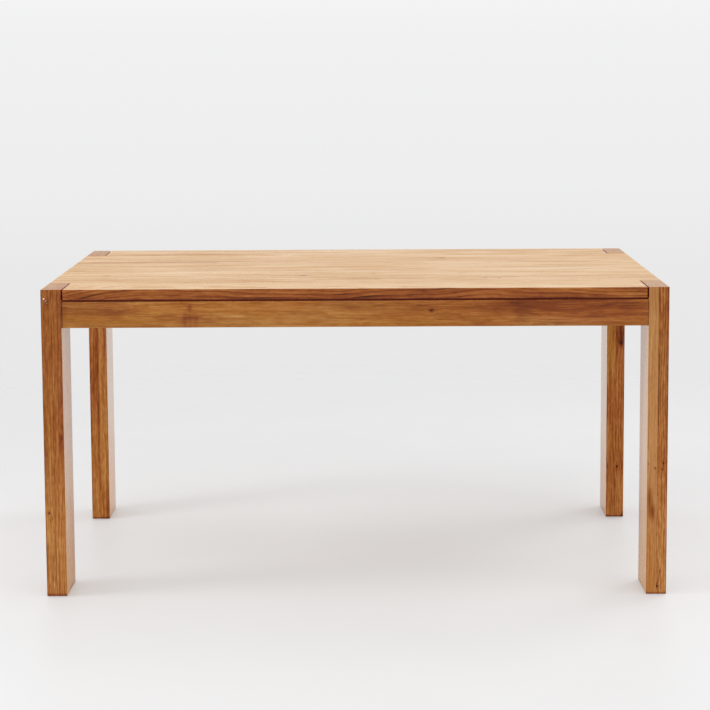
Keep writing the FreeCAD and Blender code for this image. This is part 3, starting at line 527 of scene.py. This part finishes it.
# Legs: two boards each. U is X and V is Y, from the board's middle.
# Each leg's ends entry is painted shade at its foot, darker and redder near the floor. On the inner boards, side paints
# the inner face paler, as sheen, with a paler strip of painted light along its front.
LEGS = {
    "leg_front_left_outer": dict(
        seed=11, pith=(16, -150), pitch=9, tone=0.60, hue=0.55, pale=-0.12, bands=0.10, figure=0.24, rings=1.3, wander=12,
        strokes=1.45, end_tone=0.42, end_tan=0.35, ends=((0.0, 11.0, 0.30),),
        slope=(0.010, 0.0), knots=[(729, 3, 0, 2.6, 0.12), (210, -2.5, 0, 1.9, 0.75)],
        patches=[(735, 4, -66, 22, 12, 40, 0.05, 0.3), (600, 2, -66, 90, 6, 50, 0.05, 0.1),
                 (60, 0, -66, 260, 30, 90, -0.24, -0.2), (30, 6.5, -66, 8, 1.4, 30, -0.40, 0.0, 0.4),
                 (425, 0, -66, 90, 30, 60, 0.08, 0.0), (285, 0, -66, 60, 30, 60, 0.06, 0.0),
                 (114, 0, -66, 36, 30, 60, 0.10, 0.0)],
        flecks=[(740, -4.5, -66.5, 2.0), (733.5, -1.0, -66.5, 0.9), (729, 3.0, -66.5, 0.8), (736, 1.5, -66.5, 0.7)]),
    "leg_front_left_inner": dict(
        seed=12, pith=(40, -70), pitch=8, tone=0.555, hue=0.62, pale=-0.12, bands=0.10, figure=0.24, rings=1.0, wander=11,
        strokes=1.45, end_tone=0.44, end_tan=0.40, ends=((0.0, 11.0, 0.30),),
        slope=(-0.012, 0.0), knots=[(396, 6, 0, 4.0, 0.10)], side=(0, -0.30, -0.1, 0.0, 0.09, 0.16, -66, 55, -0.34, -0.10),
        patches=[(394, 7, -66, 26, 6, 40, 0.12, 0.35), (590, 6, -66, 160, 7, 50, 0.05, 0.3),
                 (730, 12, -66, 70, 4, 30, 0.10, 0.2), (740, 0, -66, 60, 30, 60, 0.04, 0.0),
                 (60, 0, -66, 260, 30, 90, -0.24, -0.2), (114, 0, -66, 40, 30, 60, -0.06, 0.0)]),
    "leg_front_right_inner": dict(
        seed=21, pith=(-140, 10), pitch=6, tone=0.34, hue=0.52, pale=0.40, bands=0.10, figure=0.18, contrast=0.65, rings=0.5,
        strokes=1.2, end_tone=0.42, end_tan=1.00, ends=((0.0, 9.0, 0.25),),
        wander=7, knots=[(316, 7, 0, 1.7, 0.8), (327, -9.5, 0, 0.9, 0.5)], side=(0, -0.13, 0.0, -0.2, 0.09, 0.12, -66, 60, -0.42, -0.05),
        patches=[(241, -4.6, -66, 25, 5.0, 40, 0.60, -0.6, -0.5), (208, 0.6, -66, 16, 6.0, 40, 0.58, -0.6, -0.5),
                 (735, 0, -66, 34, 30, 60, 0.07, 0.0), (400, 0, -66, 120, 30, 60, -0.07, 0.0),
                 (60, 0, -66, 190, 30, 60, -0.03, 0.15, -0.55)]),
    "leg_front_right_outer": dict(
        seed=22, pith=(-46, -60), pitch=6, tone=0.555, hue=0.62, pale=-0.05, bands=0.10, figure=0.20, rings=1.7, wander=13,
        strokes=1.8, end_tone=0.44, end_tan=0.90, ends=((0.0, 9.0, 0.25),),
        knots=[(328, 2.5, 0, 1.8, 0.8), (313, -1, 0, 1.2, 0.5), (58, -2.5, 0, 2.2, 0.32), (21, -10.5, 0, 2.5, 0.9)],
        patches=[(330, 2, -66, 40, 5, 40, 0.08, 0.3), (58, -2, -66, 16, 5, 40, 0.06, 0.3), (400, 9, -66, 300, 4, 60, 0.05, 0.3),
                 (520, -11.5, -66, 240, 2.2, 30, 0.14, 0.3), (420, -4, -66, 110, 6, 40, -0.05, 0.0),
                 (650, 0, -66, 40, 30, 60, -0.08, 0.0), (205, 0, -66, 50, 30, 60, -0.08, 0.0),
                 (60, 0, -66, 220, 30, 90, -0.22, -0.1), (130, 0, -66, 70, 30, 60, -0.04, 0.0),
                 (720, 0, -66, 80, 30, 90, 0.10, 0.3)]),
    "leg_back_left_outer": dict(
        seed=31, ior=1.20, pith=(30, -40), pitch=8, tone=0.51, hue=0.66, pale=-0.10, bands=0.2, figure=0.4, rings=1.3, wander=12,
        strokes=1.5, end_tone=0.50, end_tan=1.00, ends=((0.0, 9.0, 0.30),),
        patches=[(400, 8.5, -66, 120, 4.6, 50, 0.28, 0.9), (400, -1, -66, 90, 12, 50, 0.08, 0.7),
                 (525, -3, -66, 36, 9, 50, -0.10, 0.2), (600, 6, -66, 90, 8, 50, 0.10, 0.3),
                 (60, 0, -66, 260, 30, 90, -0.12, -0.2)]),
    "leg_back_left_inner": dict(
        seed=32, ior=1.20, pith=(60, 30), pitch=7, tone=0.40, hue=0.66, pale=-0.05, bands=0.2, figure=0.4, rings=1.2, wander=11,
        strokes=1.5, end_tone=0.50, end_tan=1.00, ends=((0.0, 9.0, 0.30),), side=(0, -0.33, -0.2, 0.10, 0.12, 0.62, -66, 50, -0.25),
        patches=[(24, 10, -66, 46, 6, 50, 0.22, 0.6), (500, -4, -66, 300, 12, 50, -0.08, -0.1), (133, 0, -66, 50, 30, 50, -0.05, 0.0),
                 (520, 0, -66, 30, 30, 50, 0.08, 0.5)]),
    "leg_back_right_inner": dict(
        seed=41, ior=1.20, pith=(-50, 30), pitch=6, tone=0.455, hue=0.66, pale=-0.05, bands=0.2, figure=0.4, rings=1.3, wander=11,
        strokes=1.4, end_tone=0.47, end_tan=1.00, ends=((0.0, 9.0, 0.30),), side=(0, -0.36, -0.1, 0.05, 0.12, 0.54, -66, 50, -0.27),
        patches=[(470, 0, -66, 85, 30, 50, -0.16, -0.3), (325, 0, -66, 70, 30, 50, 0.05, 0.4), (65, 0, -66, 55, 30, 50, 0.07, 0.4),
                 (330, -4, -66, 170, 2.0, 50, 0.14, 0.2), (512, 6.5, -66, 60, 1.8, 50, 0.26, 0.4),
                 (560, -3, -66, 90, 8, 50, -0.02, -0.4)]),
    "leg_back_right_outer": dict(
        seed=42, ior=1.20, pith=(20, -60), pitch=8, tone=0.485, hue=0.84, pale=-0.10, bands=0.2, figure=0.4, rings=1.4, wander=13,
        strokes=1.4, end_tone=0.47, end_tan=1.00, ends=((0.0, 9.0, 0.30),),
        knots=[(506, 2, 0, 5.0, 0.22), (148, -6.5, 0, 3.2, 0.60)],
        patches=[(526, 2, -66, 26, 11, 50, 0.34, 0.4), (70, 0, -66, 75, 30, 50, -0.14, -0.1), (400, 0, -66, 120, 30, 50, -0.06, 0.1),
                 (540, 0.5, -66, 30, 8, 50, 0.30, 1.0), (508, 2.0, -66, 16, 5, 50, 0.26, 1.0), (140, 6, -66, 22, 6, 50, 0.12, 0.8),
                 (5, 9, -66, 11, 7, 50, 0.35, 0.2), (400, 4, -66, 120, 8, 50, 0.06, 0.5)]),
}

for node, look in LEGS.items():
    lo, hi = mm_box(node)
    outer_side = node.endswith("outer")
    left = "_left_" in node
    outward = (left and outer_side) or (not left and not outer_side)    # outside face towards -X
    big_low = EASE if outward else 0.3
    big_high = 0.3 if outward else EASE
    sides = (0, 2, 3) if outward else (0, 1, 2)
    centre = ((lo[0] + hi[0]) / 2, (lo[1] + hi[1]) / 2)
    glue = [(0, hi[0] if outward else lo[0])]
    # Painted shade on the leg's faces in the slab's slots.
    slots = [(1, hi[1] if "_front_" in node else lo[1])]
    if not outer_side:
        slots.append((0, hi[0] if left else lo[0]))
    board(node + "_board", node, 2, (lo[2], H),
          [(lo[0], lo[1]), (hi[0], lo[1]), (hi[0], hi[1]), (lo[0], hi[1])],
          [big_low, big_high, big_high, big_low],
          teak(node, 2, centre, glue=glue, slots=slots, arris=0.12, **look),
          ends=((1.4, sides), (1.3, sides)), spacing=11.0, step=11.0, seed=look["seed"])

# Slab: U is Y and V is Z.
# patches along a board: U from its middle. A bare (None) radius runs right through.
SLABS = [
    dict(seed=51, pith=(-30, -95), pitch=9, tone=0.14, hue=0.05, pale=0.72, bands=0.7, figure=0.60, contrast=0.90, rings=1.5, wander=16,
         slope=(0.02, 0.008), side=(1, 0.50, 0.85, -1.3, 0.0), above=[(1, 746.0, 738.0, 0.05, 0.2)],
         curls=[(-730, 120, 0, 22), (-40, 60, 0, 7), (330, 90, 0, -9)],
         patches=[(0, 35, 12, None, 9, 9, -0.16, 0.0), (-400, 66, 12, 190, 5, 9, 0.22, 0.0),
                  (100, -45, 12, 600, 12, 9, -0.10, 0.1), (60, -68, 0, 200, 12, 14, 0.09, 0.2),
                  (300, -68, 0, 200, 12, 14, 0.09, 0.4), (-500, -68, -2, 260, 12, 14, -0.06, 0.0),
                  (-185, -68, 0, 90, 12, 14, -0.11, 0.0), (150, -68, 0, 70, 12, 14, 0.08, 0.1),
                  (310, -68, 0, 60, 12, 14, -0.08, 0.0), (-680, -68, 4, 40, 12, 14, 0.12, 0.1),
                  (-435, -68, -4, 40, 12, 14, 0.08, 0.1), (590, -68, -9.5, 65, 12, 4.5, 0.16, 0.1),
                  (670, -68, 8, 60, 12, 8, 0.12, 0.0), (445, -68, -3.5, 75, 12, 4, 0.12, 0.1),
                  (-185, -68, -7, 90, 12, 6, -0.14, 0.0),
                  (190, -68, 7, 80, 12, 7, 0.14, 0.1), (500, -68, 8, 90, 12, 8, -0.14, -0.2),
                  (-525, -68, 7, 30, 12, 7, 0.10, 0.1), (670, -68, -7, 50, 12, 6, -0.12, -0.2)]),
    dict(seed=52, pith=(20, -70), pitch=8, tone=0.20, hue=0.00, pale=0.82, bands=0.7, figure=0.60, contrast=0.90, rings=1.3, wander=12,
         knots=[(398, 35, 0, 4.0, 0.6), (348, 18, 0, 5.0, 0.45)],
         patches=[(-200, 34, 12, 420, 16, 9, 0.12, -0.2)]),
    dict(seed=53, pith=(-90, -30), pitch=7, tone=0.16, hue=0.06, pale=0.86, bands=0.7, figure=0.60, contrast=0.90, rings=1.2, wander=10,
         knots=[(-637, -11, 0, 4.5, 0.7), (-252, 17, 0, 3.0, 0.6), (-132, -23, 0, 6.5, 0.6), (46, 9, 0, 4.0, 0.7),
                (273, 17, 0, 4.5, 0.6)],
         patches=[(-450, 40, 12, 330, 13, 9, -0.16, 0.0)]),
    dict(seed=54, pith=(10, 80), pitch=8, tone=0.19, hue=0.02, pale=0.80, bands=0.7, figure=0.60, contrast=0.90, rings=1.4, wander=13,
         patches=[(-380, 10, 12, 80, 18, 9, 0.16, 0.0)]),
    dict(seed=55, pith=(70, -40), pitch=7, tone=0.18, hue=0.05, pale=0.84, bands=0.7, figure=0.60, contrast=0.90, rings=1.2, wander=9),
    dict(seed=56, pith=(-20, -90), pitch=8, tone=0.20, hue=0.12, pale=0.72, bands=0.8, figure=0.60, contrast=0.90, rings=1.4, wander=12,
         patches=[(-430, -14, 12, 340, 20, 9, 0.20, 0.2), (300, -5, 12, 300, 16, 9, 0.07, 0.0)]),
    dict(seed=57, pith=(40, 60), pitch=8, tone=0.16, hue=0.06, pale=0.84, bands=0.7, figure=0.60, contrast=0.90, rings=1.2, wander=11,
         knots=[(240, -38, 0, 5.5, 0.6)],
         patches=[(-480, 26, 12, 260, 14, 9, -0.14, 0.0)]),
    dict(seed=58, pith=(0, -80), pitch=9, tone=0.22, hue=0.14, pale=0.78, bands=0.7, figure=0.60, contrast=0.90, rings=1.4, wander=14,
         side=(1, 0.40, 0.6, -1.2, 0.0), patches=[(-520, -40, 12, 150, 30, 9, 0.12, 0.2)]),
]
for i, look in enumerate(SLABS):
    node = "top_board_%d" % (i + 1)
    lo, hi = mm_box(node)
    edge = i in (0, 7)
    look = dict(look)
    look["patches"] = list(look.get("patches", ())) + [(520, 0, 12, 240, None, 9, 0.0, 0.0, 0.25)]

    def exposed(side):
        """The long edge beside a leg, where the board shows past the edge board."""
        inner = W / 2 - LEG_X - GAP
        if side:
            return lambda x: 1.1 if abs(x) > inner + 1 else 0.18
        return 0.18
    low = CRISP if i == 0 else exposed(i == 1)
    high = CRISP if i == 7 else exposed(i == 6)
    if edge:
        sides = (0, 2, 3) if i == 0 else (0, 1, 2)
        ends = ((1.0, sides), (1.0, sides))
    else:
        ends = ((1.4, (0, 2)), (1.4, (0, 2)))
    inner = W / 2 - LEG_X - GAP
    breaks = (-inner - 1.2, -inner - 0.8, inner + 0.8, inner + 1.2) if i in (1, 6) else ()
    glue = [(0, v) for v, skip in ((lo[1], i == 0), (hi[1], i == 7)) if not skip]
    # The edge boards' ends, in the slots round the legs, get dark lines of painted shade.
    board(node + "_board", node, 0, (lo[0], hi[0]),
          [(lo[1], lo[2]), (hi[1], lo[2]), (hi[1], hi[2]), (lo[1], hi[2])],
          [low, high, high, low],
          teak(node, 0, ((lo[1] + hi[1]) / 2, (lo[2] + hi[2]) / 2), glue=glue, rough=0.395,
               gloss=0.45, vary=0.5, stretch=1.7, end_tone=0.62, end_tan=0.12,
               ends=((lo[0], 1.2, 0.30), (hi[0], 1.2, 0.30)) if edge else (), **look),
          ends=ends, spacing=12.0, step=12.0, seed=look["seed"], flat=0.0 if not edge else 0.0, breaks=breaks)

# Aprons: on the long ones U is Y and V is Z, on the short ones U is Z and V is X.
APRONS = {
    "apron_front": dict(
        seed=61, pith=(60, -14), pitch=8, tone=0.49, hue=0.22, pale=0.02, bands=0.26, figure=0.32, contrast=0.85, rings=0.7, wander=12,
        # joint: a wider, darker line of painted shade at the joint with the left leg.
        slope=(0.0, 0.006), knots=[(186, 5, 1, 2.4, 0.75)], joint=(3.4, 0.45),
        patches=[(-400, -12, 14, 5.5, 30, 9, 0.17, 0.6), (-412, -12, -17, 6.0, 30, 14, 0.15, 0.7),
                 (-399, -12, -18, 4.5, 30, 14, 0.13, 0.6), (-386, -12, -18, 6.0, 30, 15, 0.12, 0.6),
                 (-401, -12, -12, 24, 30, 24, 0.05, 0.4),
                 (-595, -12, 8, 52, 30, 17, 0.10, 0.4), (-700, -12, 0, 120, 30, 60, 0.05, 0.0),
                 (520, -12, 18, 170, 30, 22, 0.13, 0.8), (600, -12, -10, 130, 30, 18, 0.08, 0.7),
                 (392, -12, 25, 26, 30, 6, 0.30, 0.5), (440, -12, 20, 60, 30, 12, 0.08, 0.3),
                 (420, -12, 0, 300, 30, 60, 0.06, 0.25), (-620, -12, -22, 200, 30, 12, 0.0, -0.3),
                 # The patch at -709 is painted shade beside the joint with the left leg.
                 (-200, -12, 0, 150, 30, 60, -0.08, 0.0), (-709, -12, 0, 9, 30, 60, 0.10, 0.2),
                 (-505, -12, 20, 75, 30, 10, -0.15, 0.0), (-340, -12, 20, 60, 30, 12, -0.09, 0.0),
                 (165, -12, 19, 55, 30, 9, 0.17, 0.3), (668, -12, 19, 38, 30, 10, 0.17, 0.4),
                 (-560, -12, -16, 80, 30, 9, 0.10, 0.1), (-290, -12, -4, 60, 30, 14, -0.05, 0.0),
                 (235, -12, -12, 50, 30, 14, -0.10, 0.0), (403, -12, -10, 18, 30, 20, 0.11, 0.3),
                 (495, -12, -16, 55, 30, 10, -0.14, 0.0), (403, -12, 10, 20, 30, 16, 0.10, 0.3),
                 (-672, -12, 12, 40, 30, 22, 0.09, 0.1), (-450, -12, 0, 40, 30, 9, 0.08, 0.0), (120, -12, 20, 30, 30, 9, 0.08, 0.1),
                 (600, -12, 19, 30, 30, 10, 0.08, 0.4), (207, -12, 0, 40, 30, 9, -0.07, 0.0), (-40, -12, -18, 40, 30, 9, -0.08, 0.0)]),
    "apron_back": dict(
        seed=62, pith=(-70, 20), pitch=8, tone=0.51, hue=0.35, bands=0.30, figure=0.4, contrast=0.9, rings=0.9, wander=13,
        slope=(0.0, -0.008), knots=[(-340, -8, 1, 3.0, 0.6), (455, 12, 1, 2.0, 0.7)],
        patches=[(250, 12, 5, 120, 30, 22, 0.10, 0.5)]),
    "apron_left": dict(
        seed=63, pith=(10, 60), pitch=8, tone=0.51, hue=0.32, bands=0.30, figure=0.4, contrast=0.9, rings=0.9, wander=12,
        slope=(0.008, 0.0), knots=[(120, 6, 0, 2.4, 0.6)], patches=[(-150, -5, -12, 90, 20, 30, 0.10, 0.4)]),
    "apron_right": dict(
        seed=64, pith=(-16, -60), pitch=8, tone=0.53, hue=0.38, bands=0.30, figure=0.4, contrast=0.9, rings=0.9, wander=12,
        slope=(-0.010, 0.0), knots=[(-180, -4, 0, 3.0, 0.6)], patches=[(160, 8, 12, 110, 20, 30, 0.10, 0.5)]),
}
Z0, Z1, Z2 = APRON_Z, SLAB_Z - 5.0, SLAB_Z
y0, y1, x0, x1 = D / 2, D / 2 - 25.0, W / 2, W / 2 - 25.0
PROFILES = {
    "apron_front": (0, (W / 2 - LEG_X), [(-y0, Z0), (-y1, Z0), (-y1, Z2), (-y0 + 8, Z2), (-y0 + 8, Z1), (-y0, Z1)],
                    [EASE, 1.2, 0.8, 0.8, 0.7, 1.1], (0, 5)),
    "apron_back": (0, (W / 2 - LEG_X), [(y1, Z0), (y0, Z0), (y0, Z1), (y0 - 8, Z1), (y0 - 8, Z2), (y1, Z2)],
                   [1.2, EASE, 1.1, 0.7, 0.8, 0.8], (0, 1)),
    "apron_left": (1, (D / 2 - LEG_Y), [(Z0, -x0), (Z1, -x0), (Z1, -x0 + 8), (Z2, -x0 + 8), (Z2, -x1), (Z0, -x1)],
                   [EASE, 1.1, 0.7, 0.8, 0.8, 1.2], (5, 0)),
    "apron_right": (1, (D / 2 - LEG_Y), [(Z0, x1), (Z2, x1), (Z2, x0 - 8), (Z1, x0 - 8), (Z1, x0), (Z0, x0)],
                    [1.2, 0.8, 0.8, 0.7, 1.1, EASE], (4, 5)),
}
for node, (axis, half, corners, radii, sides) in PROFILES.items():
    look = dict(APRONS[node])
    low_joint = look.pop("joint", (2.4, 0.30))
    mid = [(min(p[k] for p in corners) + max(p[k] for p in corners)) / 2 for k in (0, 1)]
    # Painted shade: the rebate's faces in the shadow gap are darker and deep red, and the apron's ends get dark red
    # lines of painted shade at the joints with the legs.
    rebate = (1 if axis == 0 else 0, Z1 - 0.3, Z1 + 0.5, 0.38, 1.0, PAINTED_GAP_SHADE)
    board(node + "_board", node, axis, (-half, half), corners, radii,
          teak(node, axis, mid, ends=((-half, *low_joint), (half, 2.4, 0.30)), above=(rebate,), **look),
          ends=((0.7, sides), (0.7, sides)), spacing=12.0, step=12.0, seed=look["seed"])


# --------------------------------------------------------------------------
# Pieces that keep their CAD shape.

def dress(nodes, material):
    for n in nodes:
        o = NODES[n]
        o.data.materials.clear()
        o.data.materials.append(material)
        for poly in o.data.polygons:
            poly.material_index = 0


def metal(name, colour, metallic, rough, streak):
    net = Net(name)
    x, y, z = net.xyz
    fine = net.noise(net.vector(x * 0.9, y * 0.9, z * 0.9), 3.0, 0.6)
    spots = net.noise(net.vector(x * 0.12, y * 0.12, z * 0.12), 2.0, 0.6)
    dull = tuple(v * 0.72 for v in colour)
    shade = net.step(spots[0] + (fine[0] - 0.5) * 0.5, 0.35, 0.70)
    net.put(net.bsdf.inputs["Base Color"], net.mix(shade, colour, dull))
    net.bsdf.inputs["Metallic"].default_value = metallic
    net.put(net.bsdf.inputs["Roughness"], (fine[1] - 0.5) * streak + (spots[1] - 0.5) * 0.15 + rough)
    net.bump((fine[0] - 0.5) * 0.5 + (spots[2] - 0.5), 0.25, 0.0001)
    return net.material


def nylon():
    net = Net("glide_nylon_brown")
    x, y, z = net.xyz
    fine = net.noise(net.vector(x * 2.0, y * 2.0, z * 2.0), 2.0, 0.6)
    wide = net.noise(net.vector(x * 0.3, y * 0.3, z * 0.3), 2.0, 0.5)
    net.put(net.bsdf.inputs["Base Color"],
            net.mix(net.step(wide[0] + (fine[0] - 0.5) * 0.4, 0.35, 0.7), (0.115, 0.062, 0.036), (0.075, 0.040, 0.024)))
    net.put(net.bsdf.inputs["Roughness"], (fine[1] - 0.5) * 0.2 + 0.5)
    net.bump(fine[0], 0.2, 0.0001)
    return net.material


for i, n in enumerate(("cross_rail_left", "cross_rail_middle", "cross_rail_right")):
    lo, hi = mm_box(n)
    dress([n], teak(n, 1, ((lo[2] + hi[2]) / 2, (lo[0] + hi[0]) / 2), seed=71 + i, pith=(40 - 30 * i, 50), pitch=6,
                    tone=0.36, hue=0.35, contrast=0.8, rings=0.8, wander=8, rough=0.55, wear=0.0))
for i, n in enumerate(sorted(k for k in NODES if k.startswith("leg_block"))):
    lo, hi = mm_box(n)
    dress([n], teak(n, 1, ((lo[2] + hi[2]) / 2, (lo[0] + hi[0]) / 2), seed=81 + i, pith=(50, 20 - 25 * i), pitch=6,
                    tone=0.36, hue=0.40, contrast=0.8, rings=0.9, wander=6, rough=0.58, wear=0.0))
zinc = metal("zinc_plate", (0.58, 0.60, 0.62), 1.0, 0.36, 0.25)
dress(["leg_bolts", "leg_bolt_washers", "block_screws", "rail_screws", "long_apron_brackets",
       "side_apron_brackets", "bracket_screws", "glide_nails"], zinc)
dress(["leg_inserts"], metal("turned_brass", (0.66, 0.47, 0.20), 1.0, 0.32, 0.2))
dress(["board_dowels", "long_apron_dowels", "side_apron_dowels"],
      teak("dowel", 1, (0.0, 0.0), seed=91, pith=(30, 20), pitch=4, tone=0.06, hue=0.1, contrast=0.5, rings=0.4,
           wander=4, rough=0.6, wear=0.0))
dress(["floor_glides"], nylon())


# --------------------------------------------------------------------------
# Floor, light and camera.

def make_floor():
    """A pale studio floor that melts into the backdrop at its rim."""
    rings, around, reach = 48, 96, 9.0
    verts, faces = [(0.0, 0.0, 0.0)], []
    for i in range(1, rings + 1):
        r = reach * (i / rings) ** 1.6
        for j in range(around):
            a = 2 * math.pi * j / around
            verts.append((r * math.cos(a), r * math.sin(a), 0.0))
    for j in range(around):
        faces.append((0, 1 + j, 1 + (j + 1) % around))
    for i in range(rings - 1):
        for j in range(around):
            p, q = 1 + i * around + j, 1 + i * around + (j + 1) % around
            faces.append((p, p + around, q + around, q))
    mesh = bpy.data.meshes.new("floor")
    mesh.from_pydata(verts, [], faces)
    floor = bpy.data.objects.new("floor", mesh)
    scene.collection.objects.link(floor)
    net = Net("studio_floor")
    x, y, z = net.xyz
    r = net.math("SQRT", x * x + y * y)
    soft = net.noise(net.vector(x * 0.004, y * 0.004, z), 2.0, 0.5)
    net.put(net.bsdf.inputs["Base Color"],
            net.mix(soft[0], (0.455, 0.455, 0.457), (0.475, 0.475, 0.477)))
    net.put(net.bsdf.inputs["Roughness"], (soft[1] - 0.5) * 0.06 + 0.5)
    net.bsdf.inputs["IOR"].default_value = 1.3
    # Painted light: the floor glows like a light table, more at the front than at the back, which keeps the shadow
    # pale.
    glow = net.step(y, -600.0, 1400.0)
    net.put(net.bsdf.inputs["Emission Color"], net.mix(glow, (0.325, 0.325, 0.325), (0.235, 0.235, 0.235)))
    net.bsdf.inputs["Emission Strength"].default_value = 1.0
    clear = net.node("ShaderNodeBsdfTransparent")
    blend = net.node("ShaderNodeMixShader")
    net.put(blend.inputs[0], net.step(r, 1700.0, 3600.0))
    net.tree.links.new(net.bsdf.outputs[0], blend.inputs[1])
    net.tree.links.new(clear.outputs[0], blend.inputs[2])
    net.tree.links.new(blend.outputs[0], net.out.inputs["Surface"])
    mesh.materials.append(net.material)
    return floor


make_floor()

world = bpy.data.worlds.new("studio")
scene.world = world
world.use_nodes = True
wt = world.node_tree
wt.nodes.clear()
w_out = wt.nodes.new("ShaderNodeOutputWorld")
w_bg = wt.nodes.new("ShaderNodeBackground")
w_coord = wt.nodes.new("ShaderNodeTexCoord")
w_sep = wt.nodes.new("ShaderNodeSeparateXYZ")
w_ramp = wt.nodes.new("ShaderNodeValToRGB")
w_map = wt.nodes.new("ShaderNodeMapRange")
w_map.inputs[1].default_value = -0.5
w_map.inputs[2].default_value = 0.5
wt.links.new(w_coord.outputs["Generated"], w_sep.inputs[0])
wt.links.new(w_sep.outputs[2], w_map.inputs[0])
wt.links.new(w_map.outputs[0], w_ramp.inputs[0])
stops = [(0.00, 0.80), (0.33, 0.807), (0.388, 0.815), (0.415, 0.84), (0.44, 0.855), (0.467, 0.863), (0.50, 0.873),
         (0.52, 0.89), (0.58, 0.97), (1.0, 0.97)]
while len(w_ramp.color_ramp.elements) > 1:
    w_ramp.color_ramp.elements.remove(w_ramp.color_ramp.elements[-1])
for i, (at, v) in enumerate(stops):
    e = w_ramp.color_ramp.elements[0] if i == 0 else w_ramp.color_ramp.elements.new(at)
    e.position = at
    e.color = (v, v, v * 1.003, 1.0)
wt.links.new(w_ramp.outputs[0], w_bg.inputs["Color"])
w_bg.inputs["Strength"].default_value = 1.0
wt.links.new(w_bg.outputs[0], w_out.inputs["Surface"])


def softbox(name, azimuth, elevation, size, power, distance=4.0):
    """A square light. Azimuth 0 is the camera's side, and 90 the table's right."""
    data = bpy.data.lights.new(name, "AREA")
    data.shape = "SQUARE"
    data.size = size
    data.energy = power
    lamp = bpy.data.objects.new(name, data)
    scene.collection.objects.link(lamp)
    az, el = math.radians(azimuth), math.radians(elevation)
    aim = Vector((0.0, 0.0, 0.3))
    lamp.location = aim + distance * Vector((math.sin(az) * math.cos(el), -math.cos(az) * math.cos(el), math.sin(el)))
    lamp.rotation_euler = (aim - lamp.location).to_track_quat("-Z", "Y").to_euler()
    lamp.visible_camera = False
    return lamp


softbox("key_left", 286, 34, 1.0, 35.0)
softbox("back_right", 120, 46, 1.3, 25.0)
softbox("overhead", 60, 75, 2.0, 5.0)
softbox("right_fill", 68, 22, 1.4, 8.0)

# The camera stands at eye height in front of the long side.
CAM_AT = (0.0283, -5.0033, 1.3277)
YAW, PITCH, ROLL = math.radians(0.3392), math.radians(-5.9912), math.radians(0.3173)
FOCAL_PX, SHIFT_Y = 1892.63, -0.145


def camera_axes(yaw, pitch, roll):
    r1 = np.array([[math.cos(yaw), math.sin(yaw), 0], [-math.sin(yaw), math.cos(yaw), 0], [0, 0, 1]])
    r2 = np.array([[1, 0, 0], [0, math.cos(pitch), math.sin(pitch)], [0, -math.sin(pitch), math.cos(pitch)]])
    r3 = np.array([[math.cos(roll), 0, -math.sin(roll)], [0, 1, 0], [math.sin(roll), 0, math.cos(roll)]])
    return r3 @ r2 @ r1


axes = camera_axes(YAW, PITCH, ROLL)
cam_data = bpy.data.cameras.new("camera")
cam_data.sensor_fit = "HORIZONTAL"
cam_data.sensor_width = 36.0
cam_data.lens = FOCAL_PX / 710.0 * 36.0
cam_data.shift_y = SHIFT_Y
cam_data.clip_start, cam_data.clip_end = 0.05, 100.0
camera = bpy.data.objects.new("camera", cam_data)
scene.collection.objects.link(camera)
right, forward, up = axes[0], axes[1], axes[2]
camera.matrix_world = Matrix((
    (right[0], up[0], -forward[0], CAM_AT[0]),
    (right[1], up[1], -forward[1], CAM_AT[1]),
    (right[2], up[2], -forward[2], CAM_AT[2]),
    (0, 0, 0, 1)))
scene.camera = camera

scene.view_settings.view_transform = "Standard"
scene.view_settings.look = "None"

bpy.context.view_layer.update()
